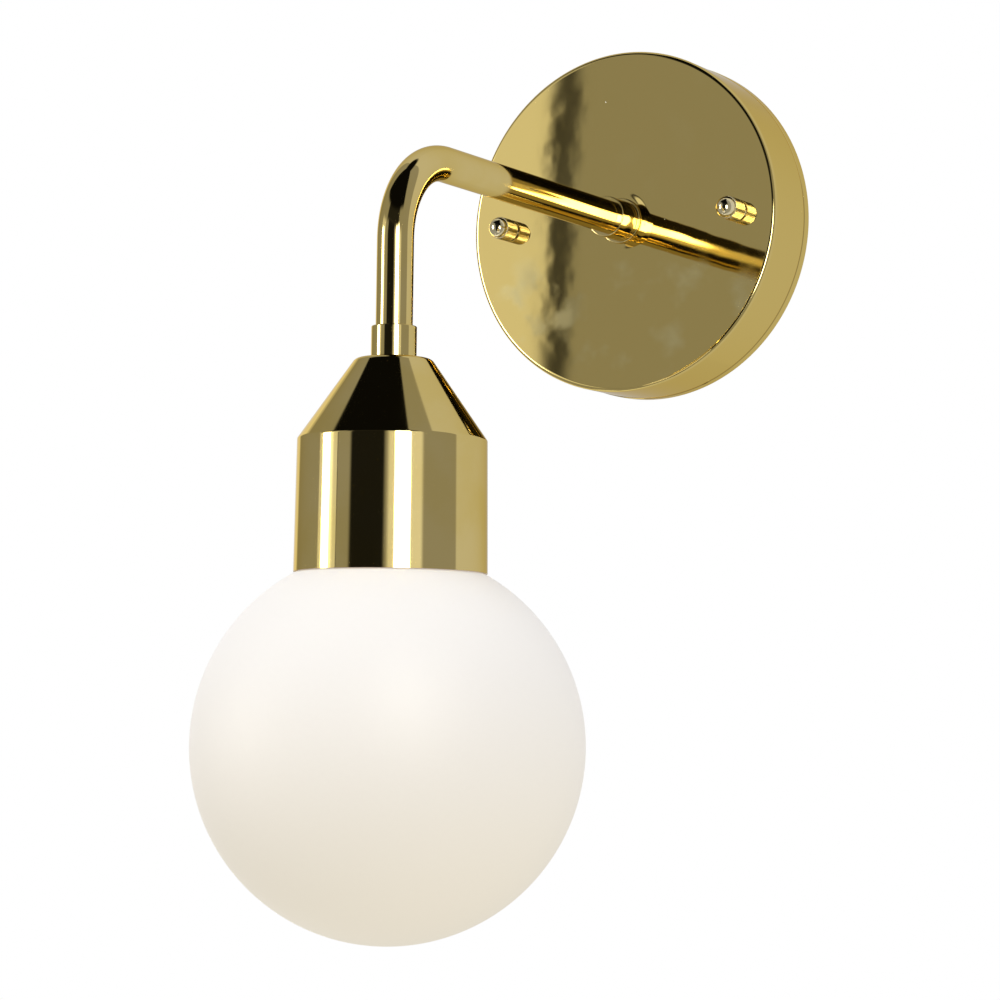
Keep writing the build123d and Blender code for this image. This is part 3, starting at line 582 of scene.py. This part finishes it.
finishes = {
    "polished_brass": arm_brass,
    "plain_brass": worked("turned_brass", *turned_brass, 0.22, 1.0, 0.004, 900),
    "zinc_steel": worked("bright_zinc", *bright_zinc, 0.26, 1.0, 0.004, 700),
    # painted shade: the clear nylon is darkened so its ring at the nuts' seat reads as a dark line
    # between the parts
    "clear_nylon": worked(
        "clear_nylon", colour(0.66, 0.64, 0.56), colour(0.60, 0.58, 0.50), 0.18,
        **{"Transmission Weight": 0.85, "IOR": 1.53},
    ),
    "silicone": worked("silicone", colour(0.80, 0.79, 0.75), colour(0.74, 0.73, 0.69), 0.45),
    "white_polyamide": worked(
        "white_polyamide", colour(0.84, 0.84, 0.80), colour(0.78, 0.78, 0.74), 0.38
    ),
    "steatite": worked(
        "steatite", colour(0.86, 0.83, 0.75), colour(0.78, 0.74, 0.66), 0.5, 0.0, 0.01, 900
    ),
    "contact_bronze": worked(
        "contact_bronze", colour(0.62, 0.38, 0.20), colour(0.52, 0.31, 0.16), 0.25, 1.0
    ),
    "tinned_copper": worked(
        "tinned_copper", colour(0.74, 0.72, 0.68), colour(0.64, 0.61, 0.57), 0.3, 1.0
    ),
    "bulb_plastic": worked("bulb_plastic", colour(0.88, 0.88, 0.86), colour(0.84, 0.84, 0.82), 0.3),
    "frosted_cover": worked(
        "frosted_cover", colour(0.90, 0.90, 0.87), colour(0.86, 0.86, 0.83), 0.4,
        **{"Transmission Weight": 0.6, "IOR": 1.49},
    ),
    "board_white": worked("board_white", colour(0.84, 0.86, 0.84), colour(0.79, 0.81, 0.79), 0.4),
    "chip_yellow": worked("chip_yellow", colour(0.86, 0.66, 0.10), colour(0.80, 0.58, 0.07), 0.35),
    "brown_sheath": worked(
        "brown_sheath", colour(0.085, 0.030, 0.012), colour(0.065, 0.022, 0.009), 0.32
    ),
    "blue_sheath": worked(
        "blue_sheath", colour(0.012, 0.065, 0.36), colour(0.010, 0.050, 0.29), 0.32
    ),
    "green_yellow_sheath": striped_sheath(),
    "opal_glass": opal_glass(),
}

# both studs take their angle about the wall's axis, so their threads show as near level rings
node_finishes = {
    "wall_nipple": threaded(
        "wall_nipple_thread", *turned_brass, 1, wall_axis_centre, nipple_pitch, nipple_thread
    ),
    "drop_nipple": threaded(
        "drop_nipple_thread", *turned_brass, 2, drop_axis_centre, nipple_pitch, nipple_thread
    ),
    "stud_screws": threaded(
        "stud_thread", *bright_zinc, 1, wall_axis_centre, stud_pitch, stud_thread
    ),
}

for subpart in frame["record"]["subparts"]:
    node = frame["nodes"][subpart["node"]]
    material = node_finishes.get(subpart["node"], finishes[subpart["material_slot"]])
    node.data.materials.clear()
    node.data.materials.append(material)

# ---------------------------------------------------------------- canopy


def canopy_section():
    """The canopy's wall: face, rounded front edge, side, a hem a hair proud, and the inside.

    Round the arm's foot the face sinks by dish_depth along a half wave of a cosine.
    """
    side = canopy_radius - hem_step
    inside = side - canopy_wall
    hole = nipple_radius + nipple_room
    back = canopy_depth - canopy_wall
    face_end = side - 2 * canopy_edge_round
    corners = [
        (face_end, canopy_depth),
        (side, canopy_depth),
        (side, hem_height + hem_step),
        (canopy_radius, hem_height),
        (canopy_radius, 0),
        (canopy_radius - hem_thickness, 0),
        (canopy_radius - hem_thickness, hem_height),
        (inside, hem_height),
        (inside, back),
        (hole, back),
        (hole, canopy_depth - dish_depth),
    ]
    rounds = [0, canopy_edge_round, 0, 0, hem_edge_round, 0, 0, 0, inner_edge_round, 0, 0]
    flat = np.linspace(base_ring_radius, dish_radius, 25)
    wave = (1 + np.cos(np.pi * (flat - base_ring_radius) / (dish_radius - base_ring_radius))) / 2
    dish = np.stack((flat, canopy_depth - dish_depth * wave), -1)
    rim_flat = np.linspace(dish_radius, face_end, 12)[1:-1]
    face = np.stack((rim_flat, canopy_depth + 0 * rim_flat), -1)
    return np.concatenate((dish, face, outline(corners, rounds)))


def make_canopy():
    """The spun canopy, with a hole for each stud."""
    canopy = turned("canopy_spun", canopy_section(), 384, off_wall(0))
    for x in (-nut_x, nut_x):
        hole_corners = [
            (0, canopy_depth - 3 * canopy_wall),
            (stud_hole_radius, canopy_depth - 3 * canopy_wall),
            (stud_hole_radius, canopy_depth + canopy_wall),
            (0, canopy_depth + canopy_wall),
        ]
        canopy = bored(canopy, turned("stud_hole", np.array(hole_corners), 64, off_wall(x)))
    dress(canopy, "lamp", canopy_brass(), "polished_brass", "canopy")


# ---------------------------------------------------------------- arm


def ring_section(outer, inner, bottom, top, edge_round):
    """A plain ring's section with its two outer edges rounded."""
    corners = [(inner, bottom), (outer, bottom), (outer, top), (inner, top)]
    return outline(corners, [0, edge_round, edge_round, 0], steps=6)


def from_open_end(run):
    """Places along a straight run from its open end: the wide bore's two ends, then evenly."""
    step = 0.1 * mm
    wide = (0, thread_depth, thread_depth + step)
    return np.concatenate((wide, np.linspace(thread_depth + 2 * step, run, 24)[:-1]))


def make_arm(brass):
    """One drawn tube: straight off the wall, a quarter bend and straight down.

    The middle line is worked out from its length: two straight runs and a quarter circle.
    At each point a circle lies across it, outside first and then back along the bore, which
    is wider where the nipples screw in.
    """
    drop_run = -arm_end - bend_radius
    turn = np.linspace(0, np.pi / 2, 97)
    level = from_open_end(reach - bend_radius - arm_foot)
    drop = drop_run - from_open_end(drop_run)[::-1]
    bent = (
        reach - bend_radius + bend_radius * np.sin(turn),
        -bend_radius + bend_radius * np.cos(turn),
    )
    distance = np.concatenate((arm_foot + level, bent[0], np.full(drop.shape, reach)))
    height = np.concatenate((0 * level, bent[1], -bend_radius - drop))
    angle = np.concatenate((0 * level, turn, np.full(drop.shape, np.pi / 2)))
    wide = np.zeros(distance.shape, bool)
    wide[:2] = wide[-2:] = True
    bore = np.where(wide, nipple_radius, tube_bore_radius)
    radius = np.concatenate((np.full(distance.shape, tube_radius), bore[::-1]))[:, None]
    distance, height, angle = [
        np.concatenate((line, line[::-1]))[:, None] for line in (distance, height, angle)
    ]
    round_it = np.linspace(0, 2 * np.pi, 160, endpoint=False)
    across = radius * np.cos(round_it)
    outward = radius * np.sin(round_it)
    grid = np.stack(
        (
            across,
            -(distance + outward * np.sin(angle)),
            height + outward * np.cos(angle),
        ),
        -1,
    )
    arm = mesh_piece("arm_drawn_tube", grid, outline_closed=True)
    dress(arm, "lamp", brass, "polished_brass", "arm_tube")


def make_collars(brass):
    """The ring at the arm's foot and the collars at both ends of the tube."""
    foot = ring_section(
        base_ring_radius, nipple_radius + nipple_room, canopy_depth, collar_back, small_round
    )
    foot_ring = turned("arm_foot_ring", foot, 160, off_wall(0))
    dress(foot_ring, "lamp", brass, "polished_brass", "arm_base_ring")
    at_wall = ring_section(collar_radius, tube_radius, collar_back, collar_front, small_round)
    wall_collar = turned("collar_at_wall", at_wall, 160, off_wall(0))
    dress(wall_collar, "lamp", brass, "polished_brass", "wall_collar")
    over_cup = ring_section(
        collar_radius, tube_radius, drop_collar_low.z, drop_collar_high.z, small_round
    )
    drop_collar = turned("collar_over_cup", over_cup, 160, on_drop)
    dress(drop_collar, "lamp", brass, "polished_brass", "drop_collar")


# ---------------------------------------------------------------- cup


def make_cup(brass):
    """The spun cup: flat top, straight cone, shoulder and a skirt that flares slightly.

    Its wall is as thick as cup_wall square to each face, so each inner corner is the outer
    one moved in along the bisector.
    """
    shoulder = cup_top - cone_height
    hole = nipple_radius + nipple_room
    slope = np.arctan2(cone_height, shoulder_radius - cone_top_radius)
    cone_shift = cup_wall * np.tan(slope / 2)
    shoulder_shift = cup_wall * np.tan((np.pi / 2 - slope) / 2)
    corners = [
        (hole, cup_top),
        (cone_top_radius, cup_top),
        (shoulder_radius, shoulder),
        (rim_radius, rim),
        (rim_radius - cup_wall + rim_chamfer, rim),
        (rim_radius - cup_wall, rim + rim_chamfer),
        (shoulder_radius - cup_wall, shoulder - shoulder_shift),
        (cone_top_radius - cone_shift, cup_top - cup_wall),
        (hole, cup_top - cup_wall),
    ]
    rounds = [0, cone_corner_round, shoulder_round, 0, 0, 0, 0, cone_corner_round - cup_wall, 0]
    cup = turned("cup_spun", outline(corners, rounds, steps=14), 320, on_drop)
    dress(cup, "lamp", brass, "polished_brass", "cup")


# ---------------------------------------------------------------- globe


def make_globe():
    """The blown globe: a sphere of even wall with a short plain neck.

    The section runs from the outer bottom pole up the sphere to the neck, over its lip and
    back down the inside to the inner bottom pole.
    """
    inside_radius = globe_radius - globe_wall
    outer_root = np.degrees(np.arccos(neck_radius / globe_radius))
    inner_root = np.degrees(np.arccos(neck_bore_radius / inside_radius))
    outer = arc((0, globe_centre), globe_radius, -90, outer_root - 1, 120)
    inner = arc((0, globe_centre), inside_radius, inner_root, -90, 96)
    neck_corners = [
        (neck_bore_radius, globe_centre),
        (neck_radius, globe_centre),
        (neck_radius, neck_top),
        (neck_bore_radius, neck_top),
    ]
    lip = outline(neck_corners, [0, 0, neck_lip_round, neck_lip_round], steps=6)[2:]
    root_height = globe_centre + globe_radius * np.sin(np.radians(outer_root))
    root = arc(
        (neck_radius + neck_root_round, root_height + neck_root_round),
        neck_root_round, 240, 180, 5,
    )
    section = np.concatenate((outer, root, lip, inner))
    section[0, 0] = section[-1, 0] = 0
    globe = turned("globe_blown", section, 256, on_drop)
    dress(globe, "globe", finishes["opal_glass"], "opal_glass", "globe")


# ---------------------------------------------------------------- cap nuts


def nut_section():
    """A cap nut from the tip of its dome, down the barrel and round into the blind bore."""
    barrel_end = nut_seat + nut_barrel
    dome_centre = nut_tip - nut_dome_radius
    root = np.degrees(np.arcsin((barrel_end - dome_centre) / nut_dome_radius))
    dome = arc((0, dome_centre), nut_dome_radius, 90, root, 24)
    barrel = [
        (nut_radius - small_round, barrel_end),
        (nut_radius, barrel_end - small_round),
        (nut_radius, nut_seat + small_round),
        (nut_radius - small_round, nut_seat),
        (nut_bore_radius, nut_seat),
        (nut_bore_radius, nut_bore_end),
        (0, nut_bore_end),
    ]
    section = np.concatenate((dome, barrel))
    section[0, 0] = 0
    return section


def make_cap_nut(side, x, brass):
    """A knurled cap nut: the barrel's radius falls by rib_depth between its ribs.

    The relief is a triangle wave, nut_ribs times round, at the barrel's two rings only.
    """
    section = nut_section()
    steps_per_rib = 8
    steps = steps_per_rib * nut_ribs
    groove = np.abs((np.arange(steps) / steps_per_rib) % 1 - 0.5) * 2
    on_barrel = np.isclose(section[:, 0], nut_radius)[:, None]
    relief = -rib_depth * groove * on_barrel
    nut = turned(f"{side}_nut_knurled", section, steps, off_wall(x), relief)
    dress(nut, f"{side}_nut", brass, "polished_brass", f"{side}_cap_nut")


make_canopy()
make_arm(arm_brass)
make_collars(arm_brass)
make_cup(cup_brass)
make_globe()
make_cap_nut("left", -nut_x, nut_brass)
make_cap_nut("right", nut_x, nut_brass)

# ---------------------------------------------------------------- camera


def make_camera():
    """The photograph's camera, from its turn about the upright, its tilt and its roll."""
    yaw, pitch, roll = np.radians((31.14, 4.62, 0.701))
    place = (501.59 * mm, -935.20 * mm, -181.94 * mm)
    level = Matrix(((1, 0, 0), (0, 0, -1), (0, 1, 0)))
    camera_turn = Matrix.Rotation(roll, 3, "Z") @ Matrix.Rotation(-pitch, 3, "X")
    world_to_view = camera_turn @ level @ Matrix.Rotation(-yaw, 3, "Z")
    right, down, forward = world_to_view
    axes = Matrix((right, -down, -forward)).transposed()
    data = bpy.data.cameras.new("photo_camera")
    data.sensor_width = 36.0
    data.lens = 108.316
    data.clip_start = 0.05
    data.clip_end = 30.0
    camera = bpy.data.objects.new("photo_camera", data)
    camera.matrix_world = Matrix.Translation(place) @ axes.to_4x4()
    bpy.context.collection.objects.link(camera)
    bpy.context.scene.camera = camera


# ---------------------------------------------------------------- studio

# The studio's walls are a ball round the lamp, nearer on the right than on the left, with soft
# strip lights, black flags and a gap at the back where the white background shows. A card on
# the walls has its left and right edges as bearings in degrees from straight out of the wall,
# positive towards +X, its bottom and top as heights in degrees over the horizon, the softness
# of its upright and of its level edges in degrees, and its brightness. Both are taken from
# the middle of the cup's skirt, and later cards cover earlier ones.
skirt_middle = (0, -reach, -110 * mm)
side_wall = 0.32
cards = [
    ("right of the wall", 112, 220, -95, 79, 3, 4, 0.62),
    ("left of the wall", -220, -112, -95, 79, 3, 4, 0.60),
    ("left glow", -63, -35.1, -12, 28, 1.2, 6, 0.80),
    ("left halo", -56, -42, -8, 20, 6, 5, 1.70),
    ("left strip", -57, -46.5, -8, 20, 3, 5, 12.00),
    ("right glow", 29, 68, -12, 30, 5, 8, 0.85),
    ("right strip", 36.8, 54, -8, 33, 2.4, 5, 12.00),
    ("flag before the lamp", -17, 25, -95, 33, 5, 5, 0.012),
    ("narrow flag", -35.1, -34.3, -95, 26, 0.6, 3, 0.05),
    ("low ceiling flag", -30, 50, 30, 54, 8, 8, 0.02),
    ("ceiling flag", -77, 71, 45, 95, 4, 6, 0.004),
    ("overhead flag", -220, 220, 79, 95, 4, 4, 0.004),
]
low_gap = (-138, -115, -95, 27, 5, 5)
studio_radius = 1.0
studio_shift = -0.75
fill_level = 0.62
paper_white = 1.0
floor_half = 6.0
floor_level = -1.1


def where_background_shows(start):
    """1 for the rays that the camera, polished metal and glass send out, and 0 for the rest."""
    camera, glossy, through = [
        start.node("ShaderNodeLightPath", output=f"Is {kind} Ray")
        for kind in ("Camera", "Glossy", "Transmission")
    ]
    return camera.then("MAXIMUM", glossy).then("MAXIMUM", through)


def make_world():
    """A white background, and an even fill on everything that it lights."""
    world = bpy.data.worlds.new("studio")
    world.use_nodes = True
    world.node_tree.nodes.clear()
    start = Wire(world.node_tree)
    light = fill_level + where_background_shows(start) * (paper_white - fill_level)
    sockets = {"Color": colour(1, 1, 1), "Strength": light}
    start.node("ShaderNodeBackground", inputs=sockets).show("ShaderNodeOutputWorld")
    bpy.context.scene.world = world


def make_studio_walls():
    """The ball of studio walls that polished metal mirrors, each card blended over the last.

    Its section is a half circle of studio_radius from pole to pole, turned about the upright.
    """
    latitude = np.radians(np.linspace(-90, 90, 49))
    section = studio_radius * np.stack((np.cos(latitude), np.sin(latitude)), -1)
    section[0, 0] = section[-1, 0] = 0
    middle = np.array(skirt_middle) + (studio_shift, 0, 0)

    def about_middle(across, up, along):
        return np.stack((across, up, along), -1) + middle

    walls = turned("studio_walls", section, 96, about_middle)
    material, place = new_material("studio_walls")
    x, y, z = [axis - centre for axis, centre in zip(place.parts(), skirt_middle)]
    to_degrees = 180 / np.pi
    bearing = x.then("ARCTAN2", 0 - y) * to_degrees
    height = z.then("ARCTAN2", (x * x + y * y) ** 0.5) * to_degrees

    def card(left, right, bottom, top, side_soft, end_soft):
        """1 on the card and 0 off it."""
        return bearing.within(left, right, side_soft) * height.within(bottom, top, end_soft)

    level = side_wall
    for _, *edges, brightness in cards:
        level = level + card(*edges) * (brightness - level)
    wall = place.node("ShaderNodeEmission", inputs={"Color": colour(1, 1, 1), "Strength": level})
    through = place.node("ShaderNodeBsdfTransparent")
    mixed = place.node("ShaderNodeMixShader", inputs={0: card(*low_gap), 1: wall, 2: through})
    mixed.show("ShaderNodeOutputMaterial")
    material.cycles.emission_sampling = "NONE"
    walls.data.materials.append(material)
    walls.visible_camera = False
    walls.visible_diffuse = False
    walls.visible_transmission = False
    walls.visible_shadow = False


def make_floor():
    """A plain pale floor well under the lamp, near white to the camera."""
    signs = np.array([(-1, -1), (1, -1), (1, 1), (-1, 1)])
    corners = [(x, y, floor_level) for x, y in (floor_half * signs).tolist()]
    mesh = bpy.data.meshes.new("floor")
    mesh.from_pydata(corners, [], [(0, 1, 2, 3)])
    floor = bpy.data.objects.new("floor", mesh)
    bpy.context.collection.objects.link(floor)
    material, place = new_material("pale_floor")
    paint = 0.96 + 0.02 * place.noise(3)
    seen = where_background_shows(place)
    matt = place.node("ShaderNodeBsdfDiffuse", inputs={"Color": colour(0.88, 0.88, 0.87)})
    glow = place.node("ShaderNodeEmission", inputs={"Color": colour(1, 1, 1)})
    mixed = place.node("ShaderNodeMixShader", inputs={0: seen * paint, 1: matt, 2: glow})
    mixed.show("ShaderNodeOutputMaterial")
    mesh.materials.append(material)


def make_lamp(name, place, size, power):
    """A soft square lamp that looks at the middle of the object."""
    middle = (cad_bounds[0] + cad_bounds[1]) / 2
    data = bpy.data.lights.new(name, "AREA")
    data.size = size
    data.energy = power
    lamp = bpy.data.objects.new(name, data)
    lamp.location = place
    lamp.rotation_euler = (middle - lamp.location).to_track_quat("-Z", "Y").to_euler()
    lamp.visible_glossy = False
    bpy.context.collection.objects.link(lamp)


bpy.context.scene.view_settings.view_transform = "Standard"
make_camera()
make_world()
make_studio_walls()
make_floor()
make_lamp("lamp_above_left", (-0.7, -1.1, 1.3), 1.2, 9.0)
make_lamp("lamp_right", (1.3, -1.0, 0.4), 1.0, 4.0)
